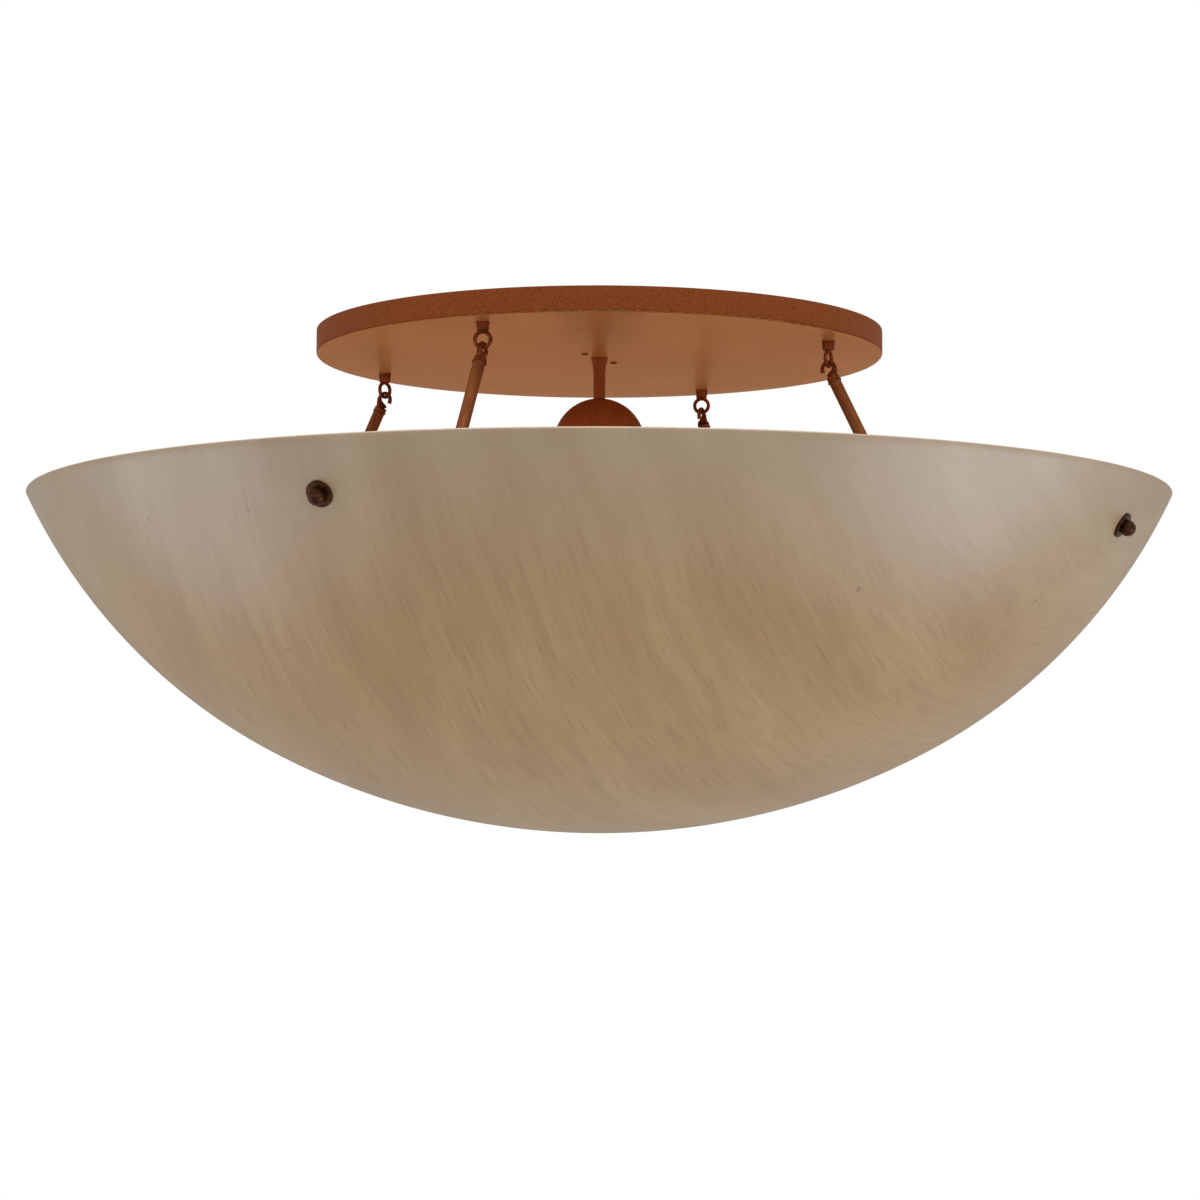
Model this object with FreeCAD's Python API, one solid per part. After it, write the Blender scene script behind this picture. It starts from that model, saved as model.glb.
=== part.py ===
import FreeCAD, Part
import math
import os

# Semi flush ceiling light. A shallow spun pan closes against the ceiling, four short loops hang
# under it, and four hooked arms carry a large bowl from the loops. A dome on a stem under the
# middle of the pan holds the lamps. Millimetres. The origin is the middle of the ceiling plane,
# +Z is up, arm 1 lies along +X and arms 2 to 4 follow at quarter turns.

V = FreeCAD.Vector
ORIGIN = V(0, 0, 0)
UP = V(0, 0, 1)

# ---- counts and clearances
arm_count = 4
lamp_count = 4
lamp_start_deg = 45.0
hang_gap = 0.3              # between a hook and the loop that it hangs in, at rest and lifted
turn_gap = 0.2              # between a knob and the washer under it
stud_clearance = 0.08       # radial, knob on its stud
thread_clearance = 0.05     # radial, a fastener in the piece that it is screwed into
slip_clearance = 0.1        # radial, a sleeve over a tube or one shell inside another
lamp_clearance = 0.3        # radial, a lamp's cap in its socket
wall_seat_gap = 0.2         # flat gasket against the hollow side of the bowl

# ---- canopy pan
pan_diameter = 609.6
pan_depth = 26.0
pan_wall = 1.5
pan_corner_radius = 2.5
brace_width = 25.0
brace_thickness = 3.0
brace_overhang = 18.3       # brace beyond the middle of a loop

# ---- ceiling strap and its screws
strap_length = 114.0
strap_width = 25.0
strap_thickness = 3.0
box_slot_spacing = 88.9
box_slot_length = 10.0
box_slot_width = 5.0
canopy_screw_spacing = 69.85
canopy_screw_diameter = 4.2
canopy_screw_head_diameter = 7.0
canopy_screw_head_height = 1.6
driver_slot_width = 1.0
driver_slot_depth = 0.8
ground_screw_offset = 20.0
ground_screw_diameter = 4.8
ground_screw_head_diameter = 8.0
ground_screw_head_height = 3.0

# ---- threaded pipe, nuts and stem
pipe_diameter = 10.3
pipe_bore = 7.5
nut_across_flats = 16.0
nut_thickness = 4.5
stem_diameter = 12.7
stem_wall = 1.1
collar_diameter = 17.8
collar_height = 13.7
collar_band_height = 2.0
stem_length = 44.6

# ---- lamp cluster
dome_diameter = 99.0
shell_wall = 1.2
dome_seat_radius = 7.5
cluster_lip_height = 6.0
lamp_droop_deg = 30.0       # lamp axes below the horizontal
cluster_cone_height = 36.0
finial_taper = 2.5
finial_cap_height = 6.0
socket_length = 45.0
socket_diameter = 38.0
socket_foot_diameter = 28.0
socket_foot_length = 8.0
socket_bead = 1.2
socket_bead_length = 4.0
socket_floor = 12.0
lamp_cap_diameter = 26.0
lamp_cap_length = 25.0
lamp_contact_diameter = 9.5
lamp_contact_height = 2.0
lamp_insulator_height = 4.0
lamp_neck_diameter = 25.2
lamp_neck_length = 12.0
globe_diameter = 60.0
lamp_length = 112.0
wiring_nipple_length = 16.0

# ---- canopy loops (closed rings) and arm hooks (open rings)
loop_inset = 38.1           # side of the pan to the middle of a loop
loop_drop = 28.0            # underside of the pan to the bottom of the ring
loop_outer_diameter = 20.0
loop_wire = 4.0
loop_base_diameter = 13.6
loop_base_foot = 12.4
loop_base_height = 10.0
loop_shank_diameter = 8.0
loop_shank_length = 10.5
loop_nut_across_flats = 13.0
loop_nut_thickness = 5.0
hook_outer_diameter = 17.5
hook_wire = 4.0
hook_sweep_deg = 288.0      # from the neck round to the tip
hook_neck_diameter = 6.6
hook_seam_distance = 12.25  # ring centre to the seam with the arm
hook_lip_diameter = 15.0
hook_lip_thickness = 1.5
hook_shank_length = 12.0

# ---- arms
arm_diameter = 12.7
arm_wall = 1.2
arm_lean_deg = 26.6         # top run, from the vertical
elbow_below_rim = 25.0
elbow_radius = 80.0
foot_plate_diameter = 30.0
foot_plate_thickness = 4.0
foot_sleeve_diameter = 18.0
foot_sleeve_length = 27.0
foot_tube_stop = 9.0

# ---- bowl
rim_below_pan = 155.0
bowl_diameter = 1219.2
bowl_depth = 357.0
bowl_wall = 5.0
bowl_crown_radius = 750.0   # outside radius of the shallow arc across the bottom
bowl_crown_reach = 357.0    # distance from the axis at which the side arc takes over
rim_chamfer = 1.0
knob_below_rim = 51.5
bowl_hole_diameter = 8.0

# ---- knobs, studs, washers and gaskets
stud_diameter = 6.35
stud_engagement = 8.0
gasket_diameter = 26.0
gasket_thickness = 1.5
washer_diameter = 26.6
washer_thickness = 2.6
washer_round = 1.0
knob_diameter = 16.4
knob_height = 12.5
knob_neck_diameter = 14.8
knob_bore_depth = 9.0

# ---- heights and places that follow from the sizes
pan_radius = pan_diameter / 2
pan_bottom_z = -pan_depth
pan_floor_z = pan_bottom_z + pan_wall
brace_top_z = pan_floor_z + brace_thickness
loop_circle_radius = pan_radius - loop_inset
brace_reach = loop_circle_radius + brace_overhang
stem_bottom_z = pan_bottom_z - stem_length
dome_radius = dome_diameter / 2
dome_centre_z = stem_bottom_z - math.sqrt(dome_radius ** 2 - dome_seat_radius ** 2)
cluster_floor_z = dome_centre_z - cluster_cone_height
rim_z = pan_bottom_z - rim_below_pan
bowl_radius = bowl_diameter / 2
loop_mean_radius = (loop_outer_diameter - loop_wire) / 2
loop_centre_z = pan_bottom_z - loop_drop + loop_outer_diameter / 2
hook_mean_radius = (hook_outer_diameter - hook_wire) / 2
hook_top_z = loop_centre_z - loop_mean_radius + (loop_wire + hook_wire) / 2 + hang_gap
hook_centre = V(loop_circle_radius, 0, hook_top_z - hook_mean_radius)


def along(degrees_below_level):
    """Unit vector in the XZ plane, pointing outwards and down by that angle."""
    angle = math.radians(degrees_below_level)
    return V(math.cos(angle), 0, -math.sin(angle))


def line(start, end):
    return Part.LineSegment(start, end).toShape()


def arc_about(centre, start, end):
    """Shorter arc from start to end about a centre, all in the XZ plane."""
    middle = (start - centre) + (end - centre)
    middle.normalize()
    return Part.Arc(start, centre + middle * (start - centre).Length, end).toShape()


def section(*edges):
    """Flat face closed by edges given in order."""
    return Part.Face(Part.Wire(list(edges)))


def section_through(points):
    """Flat face through (radius, height) corners in the XZ plane."""
    corners = [V(radius, 0, height) for radius, height in points]
    return Part.Face(Part.makePolygon(corners + corners[:1]))


def turned(face):
    return face.revolve(ORIGIN, UP, 360)


def seated(shape, base, direction):
    """Move a shape built up the Z axis to a base point, with its axis along direction."""
    shape = shape.copy()
    shape.Placement = FreeCAD.Placement(base, FreeCAD.Rotation(UP, direction))
    return shape


def around(shape, index, count, start_deg=0.0):
    """Copy of a shape turned about the vertical axis to place number index of count."""
    copy = shape.copy()
    copy.rotate(ORIGIN, UP, start_deg + 360.0 * index / count)
    return copy


def every(shape, count, start_deg=0.0):
    """The same piece at each of its places, as separate solids."""
    return Part.makeCompound([around(shape, index, count, start_deg) for index in range(count)])


def disc(diameter, height, base=ORIGIN, direction=UP):
    return Part.makeCylinder(diameter / 2, height, base, direction)


def hex_nut(across_flats, thickness, bore, base):
    """Plain hexagon nut with its lower face at base."""
    corner = across_flats / math.sqrt(3)
    points = [V(corner * math.cos(math.radians(60 * i)), corner * math.sin(math.radians(60 * i)), 0)
              for i in range(6)]
    nut = Part.Face(Part.makePolygon(points + points[:1])).extrude(V(0, 0, thickness))
    nut.translate(base)
    return nut.cut(disc(bore, 3 * thickness, base - V(0, 0, thickness)))


# ---------------------------------------------------------------- canopy
def canopy_pan():
    """Spun steel pan: flat floor, rounded corner, upright wall, open against the ceiling."""
    outer = pan_corner_radius
    inner = pan_corner_radius - pan_wall
    corner = V(pan_radius - outer, 0, pan_bottom_z + outer)
    wall = section(
        line(V(0, 0, pan_bottom_z), V(corner.x, 0, pan_bottom_z)),
        arc_about(corner, V(corner.x, 0, pan_bottom_z), V(pan_radius, 0, corner.z)),
        line(V(pan_radius, 0, corner.z), V(pan_radius, 0, 0)),
        line(V(pan_radius, 0, 0), V(pan_radius - pan_wall, 0, 0)),
        line(V(pan_radius - pan_wall, 0, 0), V(pan_radius - pan_wall, 0, corner.z)),
        arc_about(corner, V(pan_radius - pan_wall, 0, corner.z), V(corner.x, 0, corner.z - inner)),
        line(V(corner.x, 0, corner.z - inner), V(0, 0, pan_floor_z)),
        line(V(0, 0, pan_floor_z), V(0, 0, pan_bottom_z)),
    )
    return turned(wall).cut(floor_holes(pan_bottom_z, pan_wall))


def canopy_screw_places():
    return [V(0, side * canopy_screw_spacing / 2, 0) for side in (-1, 1)]


def floor_holes(bottom_z, thickness):
    """Drills for the pipe, the canopy screws and the loop shanks through one sheet."""
    height = 3 * thickness
    low = V(0, 0, bottom_z - thickness)
    loop = disc(loop_shank_diameter + 2 * slip_clearance, height, low + V(loop_circle_radius, 0, 0))
    pipe = disc(pipe_diameter + 2 * slip_clearance, height, low)
    screws = [disc(canopy_screw_diameter + 2 * slip_clearance, height, low + place)
              for place in canopy_screw_places()]
    return Part.makeCompound([pipe, every(loop, arm_count)] + screws)


def pan_brace():
    """Flat cross inside the pan that takes the loops' load to the pipe."""
    corner = V(-brace_reach, -brace_width / 2, pan_floor_z)
    bar = Part.makeBox(2 * brace_reach, brace_width, brace_thickness, corner)
    cross_bar = around(bar, 1, 4)
    hub = disc(canopy_screw_spacing + brace_width, brace_thickness, V(0, 0, pan_floor_z))
    return bar.fuse([cross_bar, hub]).removeSplitter().cut(floor_holes(pan_floor_z, brace_thickness))


def ceiling_strap():
    """Steel strap for the ceiling box: two slots for its screws and tapped holes for the rest."""
    low = V(0, 0, -strap_thickness)
    corner = V(-strap_width / 2, -strap_length / 2, -strap_thickness)
    strap = Part.makeBox(strap_width, strap_length, strap_thickness, corner)
    upright = [edge for edge in strap.Edges if abs(edge.tangentAt(edge.FirstParameter).z) > 0.9]
    strap = strap.makeFillet(strap_width / 5, upright)
    drills = [disc(pipe_diameter + 2 * thread_clearance, strap_thickness, low)]
    for place in canopy_screw_places():
        drills.append(disc(canopy_screw_diameter + 2 * thread_clearance, strap_thickness, low + place))
    ground = V(0, ground_screw_offset, 0)
    drills.append(disc(ground_screw_diameter + 2 * thread_clearance, strap_thickness, low + ground))
    straight = box_slot_length - box_slot_width
    for side in (-1, 1):
        middle = low + V(0, side * box_slot_spacing / 2, 0)
        start = middle - V(box_slot_width / 2, straight / 2, 0)
        drills.append(Part.makeBox(box_slot_width, straight, strap_thickness, start))
        for end in (-1, 1):
            drills.append(disc(box_slot_width, strap_thickness, middle + V(0, end * straight / 2, 0)))
    return strap.cut(drills)


def slotted_screw(diameter, head_diameter, head_height, length, head_top, direction):
    """Screw with its head's seat at head_top and its shank along direction from there."""
    head = disc(head_diameter, head_height, head_top - direction * head_height, direction)
    shank = disc(diameter, length, head_top, direction)
    reach = V(head_diameter, driver_slot_width, 2 * driver_slot_depth)
    slot = Part.makeBox(reach.x * 2, reach.y, reach.z, V(-reach.x, -reach.y / 2, -reach.z / 2))
    slot.translate(head_top - direction * head_height)
    return head.fuse(shank).removeSplitter().cut(slot)


def canopy_screws():
    """Two screws beside the stem that pull the pan up to the strap."""
    length = pan_depth - strap_thickness / 4
    screws = [slotted_screw(canopy_screw_diameter, canopy_screw_head_diameter, canopy_screw_head_height,
                            length, place + V(0, 0, pan_bottom_z), UP)
              for place in canopy_screw_places()]
    return Part.makeCompound(screws)


def ground_screw():
    """Earthing screw in the strap, head down."""
    seat = V(0, ground_screw_offset, -strap_thickness)
    return slotted_screw(ground_screw_diameter, ground_screw_head_diameter, ground_screw_head_height,
                         strap_thickness, seat, UP)


# ---------------------------------------------------------------- stem
def hanging_pipe():
    """Hollow all-thread pipe from the strap to the bottom of the cluster: load and wiring way."""
    bottom = cluster_floor_z - nut_thickness
    pipe = disc(pipe_diameter, -bottom, V(0, 0, bottom))
    return pipe.cut(disc(pipe_bore, -bottom, V(0, 0, bottom)))


def pipe_nuts():
    """Lock nuts on the pipe: under the strap, and on the brace."""
    bore = pipe_diameter + 2 * thread_clearance
    under_strap = hex_nut(nut_across_flats, nut_thickness, bore, V(0, 0, -strap_thickness - nut_thickness))
    on_brace = hex_nut(nut_across_flats, nut_thickness, bore, V(0, 0, brace_top_z))
    return Part.makeCompound([under_strap, on_brace])


def stem_tube():
    """Cover tube between the pan and the dome."""
    low = V(0, 0, stem_bottom_z)
    tube = disc(stem_diameter, stem_length, low)
    return tube.cut(disc(stem_diameter - 2 * stem_wall, stem_length, low))


def stem_collar():
    """Flared ring round the top of the stem, against the pan."""
    inner = stem_diameter / 2 + slip_clearance
    flare = collar_diameter / 2 - inner - pan_wall / 5
    band_z = pan_bottom_z - collar_band_height
    foot_z = pan_bottom_z - collar_height
    foot = V(inner + pan_wall / 5, 0, foot_z)
    shoulder = V(collar_diameter / 2, 0, band_z)
    waist = V(foot.x + flare / 4, 0, (foot_z + band_z) / 2)
    profile = section(
        line(V(inner, 0, foot_z), foot),
        Part.Arc(foot, waist, shoulder).toShape(),
        line(shoulder, V(shoulder.x, 0, pan_bottom_z)),
        line(V(shoulder.x, 0, pan_bottom_z), V(inner, 0, pan_bottom_z)),
        line(V(inner, 0, pan_bottom_z), V(inner, 0, foot_z)),
    )
    return turned(profile)


# ---------------------------------------------------------------- lamp cluster
def cluster_dome():
    """Upper half of the cluster, a spun half ball with a flat seat for the stem."""
    centre = V(0, 0, dome_centre_z)
    inner_radius = dome_radius - shell_wall
    pipe_radius = pipe_diameter / 2 + slip_clearance
    seat = V(dome_seat_radius, 0, stem_bottom_z)
    under_z = stem_bottom_z - shell_wall
    under = V(math.sqrt(inner_radius ** 2 - (under_z - dome_centre_z) ** 2), 0, under_z)
    profile = section(
        line(V(pipe_radius, 0, under_z), V(pipe_radius, 0, stem_bottom_z)),
        line(V(pipe_radius, 0, stem_bottom_z), seat),
        arc_about(centre, seat, centre + V(dome_radius, 0, 0)),
        line(centre + V(dome_radius, 0, 0), centre + V(inner_radius, 0, 0)),
        arc_about(centre, centre + V(inner_radius, 0, 0), under),
        line(under, V(pipe_radius, 0, under_z)),
    )
    return turned(profile)


def cluster_cone_radius(height_below_centre):
    """Outside radius of the cluster's cone, whose face is square to the lamp axes."""
    return dome_radius - height_below_centre * math.tan(math.radians(lamp_droop_deg))


def cluster_cup():
    """Lower half of the cluster: a cone that carries the sockets, with a lip inside the dome."""
    inner_radius = dome_radius - shell_wall
    lip = math.sqrt(inner_radius ** 2 - cluster_lip_height ** 2) - slip_clearance
    top = dome_centre_z
    floor = cluster_floor_z
    floor_radius = cluster_cone_radius(cluster_cone_height)
    slant = shell_wall / math.cos(math.radians(lamp_droop_deg))
    pipe_radius = pipe_diameter / 2 + slip_clearance
    cup = turned(section_through([
        (pipe_radius, floor),
        (floor_radius, floor),
        (dome_radius, top),
        (lip, top),
        (lip, top + cluster_lip_height),
        (lip - shell_wall, top + cluster_lip_height),
        (lip - shell_wall, top - slant),
        (floor_radius - slant, floor + shell_wall),
        (pipe_radius, floor + shell_wall),
    ]))
    drill = disc(pipe_diameter + 2 * thread_clearance, wiring_nipple_length,
                 lamp_seat() - along(lamp_droop_deg) * wiring_nipple_length / 2, along(lamp_droop_deg))
    return cup.cut(every(drill, lamp_count, lamp_start_deg))


def cluster_nuts():
    """Cap nut that closes the pipe under the cluster, and the lock nut inside it."""
    bore = pipe_diameter + 2 * thread_clearance
    inside = hex_nut(nut_across_flats, nut_thickness, bore, V(0, 0, cluster_floor_z + shell_wall))
    radius = nut_across_flats / 2
    mouth_z = cluster_floor_z
    pipe_end_z = cluster_floor_z - nut_thickness
    finial = turned(section_through([
        (bore / 2, mouth_z),
        (radius, mouth_z),
        (radius, pipe_end_z),
        (radius - finial_taper, pipe_end_z - finial_cap_height),
        (0, pipe_end_z - finial_cap_height),
        (0, pipe_end_z),
        (bore / 2, pipe_end_z),
    ]))
    return Part.makeCompound([inside, finial])


def lamp_seat():
    """Middle of a socket's seat on the cluster's cone, for a lamp over +X."""
    middle = cluster_cone_height / 2
    return V(cluster_cone_radius(middle), 0, dome_centre_z - middle)


def lamp_socket():
    """Screw lampholder: narrow foot, straight barrel with a bead round the mouth."""
    radius = socket_diameter / 2
    bore = lamp_cap_diameter / 2 + lamp_clearance
    wire_way = pipe_diameter / 2 + thread_clearance
    barrel = turned(section_through([
        (wire_way, 0),
        (socket_foot_diameter / 2, 0),
        (radius - socket_bead, socket_foot_length),
        (radius - socket_bead, socket_length - socket_bead_length),
        (radius, socket_length - socket_bead_length),
        (radius, socket_length),
        (bore, socket_length),
        (bore, socket_floor),
        (wire_way, socket_floor),
    ]))
    return seated(barrel, lamp_seat(), along(lamp_droop_deg))


def wiring_nipples():
    """Short hollow nipples that fix the sockets to the cluster."""
    length = wiring_nipple_length - thread_clearance
    nipple = disc(pipe_diameter, length).cut(disc(pipe_bore, length))
    start = lamp_seat() - along(lamp_droop_deg) * (length - socket_floor + lamp_contact_height)
    return every(seated(nipple, start, along(lamp_droop_deg)), lamp_count, lamp_start_deg)


def lamp_base_point():
    """Where a lamp's centre contact stands in its socket."""
    return lamp_seat() + along(lamp_droop_deg) * (socket_floor + lamp_clearance)


def lamp_cap():
    """Screw cap with its insulator and centre contact."""
    radius = lamp_cap_diameter / 2
    rim = lamp_contact_height + lamp_insulator_height
    cap = turned(section_through([
        (0, 0),
        (lamp_contact_diameter / 2, 0),
        (lamp_contact_diameter / 2, lamp_contact_height),
        (radius, rim),
        (radius, lamp_cap_length),
        (0, lamp_cap_length),
    ]))
    return seated(cap, lamp_base_point(), along(lamp_droop_deg))


def lamp_globe():
    """Opal lamp: a straight neck that widens into a round globe."""
    radius = globe_diameter / 2
    foot = V(lamp_neck_diameter / 2, 0, lamp_cap_length)
    neck = foot + V(0, 0, lamp_neck_length)
    centre = V(0, 0, lamp_length - radius)
    reach = centre - neck
    tangent_length = math.sqrt(reach.Length ** 2 - radius ** 2)
    heading = math.atan2(reach.z, reach.x) - math.asin(radius / reach.Length)
    touch = neck + V(math.cos(heading), 0, math.sin(heading)) * tangent_length
    profile = section(
        line(V(0, 0, lamp_cap_length), foot),
        line(foot, neck),
        line(neck, touch),
        arc_about(centre, touch, V(0, 0, lamp_length)),
        line(V(0, 0, lamp_length), V(0, 0, lamp_cap_length)),
    )
    return seated(turned(profile), lamp_base_point(), along(lamp_droop_deg))


# ---------------------------------------------------------------- loops and hooks
def canopy_loop():
    """Closed ring on a tapered base, with a threaded shank up through the pan and the brace."""
    base = V(loop_circle_radius, 0, pan_bottom_z)
    taper = Part.makeCone(loop_base_diameter / 2, loop_base_foot / 2, loop_base_height, base, -UP)
    shank = disc(loop_shank_diameter, loop_shank_length, base)
    centre = V(loop_circle_radius, 0, loop_centre_z)
    ring = Part.makeTorus(loop_mean_radius, loop_wire / 2, centre, V(1, 0, 0))
    inside = disc(loop_outer_diameter - 2 * loop_wire, loop_base_foot * 2,
                  centre - V(loop_base_foot, 0, 0), V(1, 0, 0))
    return taper.cut(inside).fuse([ring, shank]).removeSplitter()


def loop_nuts():
    """Nuts on the loop shanks, on top of the brace."""
    bore = loop_shank_diameter + 2 * thread_clearance
    nut = hex_nut(loop_nut_across_flats, loop_nut_thickness, bore, V(loop_circle_radius, 0, brace_top_z))
    return every(nut, arm_count)


def arm_axis():
    return along(90.0 - arm_lean_deg)


def arm_top():
    """Seam between hook and tube."""
    return hook_centre + arm_axis() * hook_seam_distance


def arm_hook():
    """Open ring over the loop, on a cone that flares to the arm's seam and plugs into the tube."""
    start = hook_centre + arm_axis() * hook_mean_radius
    tangent = V(-arm_axis().z, 0, arm_axis().x)
    rod = Part.Face(Part.Wire(Part.Circle(start, tangent, hook_wire / 2).toShape()))
    ring = rod.revolve(hook_centre, V(0, -1, 0), hook_sweep_deg)
    neck_length = hook_seam_distance - hook_mean_radius - hook_lip_thickness
    neck = Part.makeCone(hook_neck_diameter / 2, arm_diameter / 2, neck_length, start, arm_axis())
    lip = disc(hook_lip_diameter, hook_lip_thickness, start + arm_axis() * neck_length, arm_axis())
    plug = disc(arm_diameter - 2 * arm_wall - 2 * slip_clearance, hook_shank_length, arm_top(), arm_axis())
    return ring.fuse([neck, lip, plug]).removeSplitter()


# ---------------------------------------------------------------- bowl and its fixings
def bowl_arcs():
    """Crown centre, normal at the joint, side centre and outside radius of the side arc.

    The side arc is tangent to the crown arc and passes through the rim's outer edge.
    """
    crown = V(0, 0, rim_z - bowl_depth + bowl_crown_radius)
    angle = math.asin(bowl_crown_reach / bowl_crown_radius)
    normal = V(math.sin(angle), 0, -math.cos(angle))
    joint = crown + normal * bowl_crown_radius
    to_rim = V(bowl_radius, 0, rim_z) - joint
    radius = -to_rim.dot(to_rim) / (2 * to_rim.dot(normal))
    return crown, normal, joint - normal * radius, radius


def on_side_arc(centre, radius, height):
    """Point on the outer half of a side arc at that height."""
    return V(centre.x + math.sqrt(radius ** 2 - (height - centre.z) ** 2), 0, height)


def bowl():
    """Open bowl of even wall: a shallow crown arc runs into a tighter side arc up to the rim."""
    crown, normal, side, side_radius = bowl_arcs()
    inner_radius = side_radius - bowl_wall
    rim_outside = on_side_arc(side, side_radius, rim_z) - V(rim_chamfer, 0, 0)
    rim_inside = on_side_arc(side, inner_radius, rim_z) + V(rim_chamfer, 0, 0)
    below_rim_outside = on_side_arc(side, side_radius, rim_z - rim_chamfer)
    below_rim_inside = on_side_arc(side, inner_radius, rim_z - rim_chamfer)
    bottom_outside = V(0, 0, rim_z - bowl_depth)
    bottom_inside = bottom_outside + V(0, 0, bowl_wall)
    joint_outside = crown + normal * bowl_crown_radius
    joint_inside = crown + normal * (bowl_crown_radius - bowl_wall)
    wall = section(
        arc_about(crown, bottom_outside, joint_outside),
        arc_about(side, joint_outside, below_rim_outside),
        line(below_rim_outside, rim_outside),
        line(rim_outside, rim_inside),
        line(rim_inside, below_rim_inside),
        arc_about(side, below_rim_inside, joint_inside),
        arc_about(crown, joint_inside, bottom_inside),
        line(bottom_inside, bottom_outside),
    )
    shell = turned(wall)
    place, out = knob_place()
    drill = disc(bowl_hole_diameter, 4 * bowl_wall, place - out * 3 * bowl_wall, out)
    return shell.cut(every(drill, arm_count))


def knob_place():
    """Point on the outside of the bowl under a knob, and the wall's outward normal there."""
    _, _, side, radius = bowl_arcs()
    place = on_side_arc(side, radius, rim_z - knob_below_rim)
    return place, (place - side) * (1 / radius)


def from_wall(distance):
    """Point on a knob's axis, outwards from the bowl's outer surface."""
    place, out = knob_place()
    return place + out * distance


def gasket_inner_face():
    return -bowl_wall - wall_seat_gap - gasket_thickness


def foot_inner_face():
    return gasket_inner_face() - foot_plate_thickness


def foot_centre():
    return from_wall(gasket_inner_face() - foot_plate_thickness / 2)


def elbow_corner():
    """Where the two straight runs of an arm would meet."""
    reach = (rim_z - elbow_below_rim - hook_centre.z) / arm_axis().z
    return hook_centre + arm_axis() * reach


def arm_tail():
    """Direction of an arm's lower run."""
    tail = foot_centre() - elbow_corner()
    return tail.normalize()


def arm_tube():
    """Bent tube: a leaning run from the hook, an elbow inside the bowl and a run out to its foot."""
    top = arm_axis()
    tail = arm_tail()
    turn = math.acos(top.dot(tail))
    setback = elbow_radius * math.tan(turn / 2)
    bend_start = elbow_corner() - top * setback
    bend_end = elbow_corner() + tail * setback
    tube_end = foot_centre() - tail * foot_tube_stop
    bend_centre = bend_start + V(-top.z, 0, top.x) * elbow_radius
    upper = tube_section(arm_top(), top).extrude(bend_start - arm_top())
    elbow = tube_section(bend_start, top).revolve(bend_centre, V(0, -1, 0), math.degrees(turn))
    lower = tube_section(bend_end, tail).extrude(tube_end - bend_end)
    return upper.fuse([elbow, lower]).removeSplitter()


def tube_section(centre, direction):
    """Ring-shaped face of the arm's tube."""
    rims = [Part.Wire(Part.Circle(centre, direction, radius).toShape())
            for radius in (arm_diameter / 2, arm_diameter / 2 - arm_wall)]
    return Part.Face(rims[0]).cut(Part.Face(rims[1])).Faces[0]


def arm_foot():
    """Round plate against the bowl's wall with a sleeve for the tube and a tapped hole."""
    _, out = knob_place()
    tail = arm_tail()
    plate = disc(foot_plate_diameter, foot_plate_thickness, from_wall(foot_inner_face()), out)
    sleeve = disc(foot_sleeve_diameter, foot_sleeve_length + foot_plate_diameter,
                  foot_centre() - tail * foot_sleeve_length, tail)
    beyond = disc(3 * foot_plate_diameter, 2 * foot_plate_diameter, from_wall(gasket_inner_face()), out)
    foot = plate.fuse(sleeve.cut(beyond)).removeSplitter()
    tube_way = disc(arm_diameter + 2 * slip_clearance, foot_sleeve_length,
                    foot_centre() - tail * (foot_tube_stop + foot_sleeve_length), tail)
    stud_way = disc(stud_diameter + 2 * thread_clearance, 2 * foot_plate_thickness,
                    from_wall(foot_inner_face()), out)
    return foot.cut([tube_way, stud_way])


def wall_gaskets():
    """Rubber rings between the feet and the bowl."""
    _, out = knob_place()
    ring = disc(gasket_diameter, gasket_thickness, from_wall(gasket_inner_face()), out)
    ring = ring.cut(disc(bowl_hole_diameter, 3 * gasket_thickness,
                         from_wall(gasket_inner_face() - gasket_thickness), out))
    return every(ring, arm_count)


def knob_studs():
    """Studs fixed in the feet, through gasket, bowl and washer into the knobs."""
    _, out = knob_place()
    length = washer_thickness + turn_gap + stud_engagement - foot_inner_face()
    return every(disc(stud_diameter, length, from_wall(foot_inner_face()), out), arm_count)


def bowl_washers():
    """Round-edged washers under the knobs."""
    _, out = knob_place()
    washer = disc(washer_diameter, washer_thickness)
    far_edge = [edge for edge in washer.Edges if edge.BoundBox.ZMin > washer_thickness / 2]
    washer = washer.makeFillet(washer_round, far_edge)
    washer = washer.cut(disc(stud_diameter + 4 * slip_clearance, washer_thickness))
    return every(seated(washer, from_wall(0), out), arm_count)


def knob():
    """Ball-ended cap nut with a short neck."""
    _, out = knob_place()
    radius = knob_diameter / 2
    neck = knob_neck_diameter / 2
    centre = V(0, 0, knob_height - radius)
    meet = V(neck, 0, centre.z - math.sqrt(radius ** 2 - neck ** 2))
    bore = stud_diameter / 2 + stud_clearance
    profile = section(
        line(V(bore, 0, 0), V(neck, 0, 0)),
        line(V(neck, 0, 0), meet),
        arc_about(centre, meet, V(0, 0, knob_height)),
        line(V(0, 0, knob_height), V(0, 0, knob_bore_depth)),
        line(V(0, 0, knob_bore_depth), V(bore, 0, knob_bore_depth)),
        line(V(bore, 0, knob_bore_depth), V(bore, 0, 0)),
    )
    return seated(turned(profile), from_wall(washer_thickness + turn_gap), out)


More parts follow.
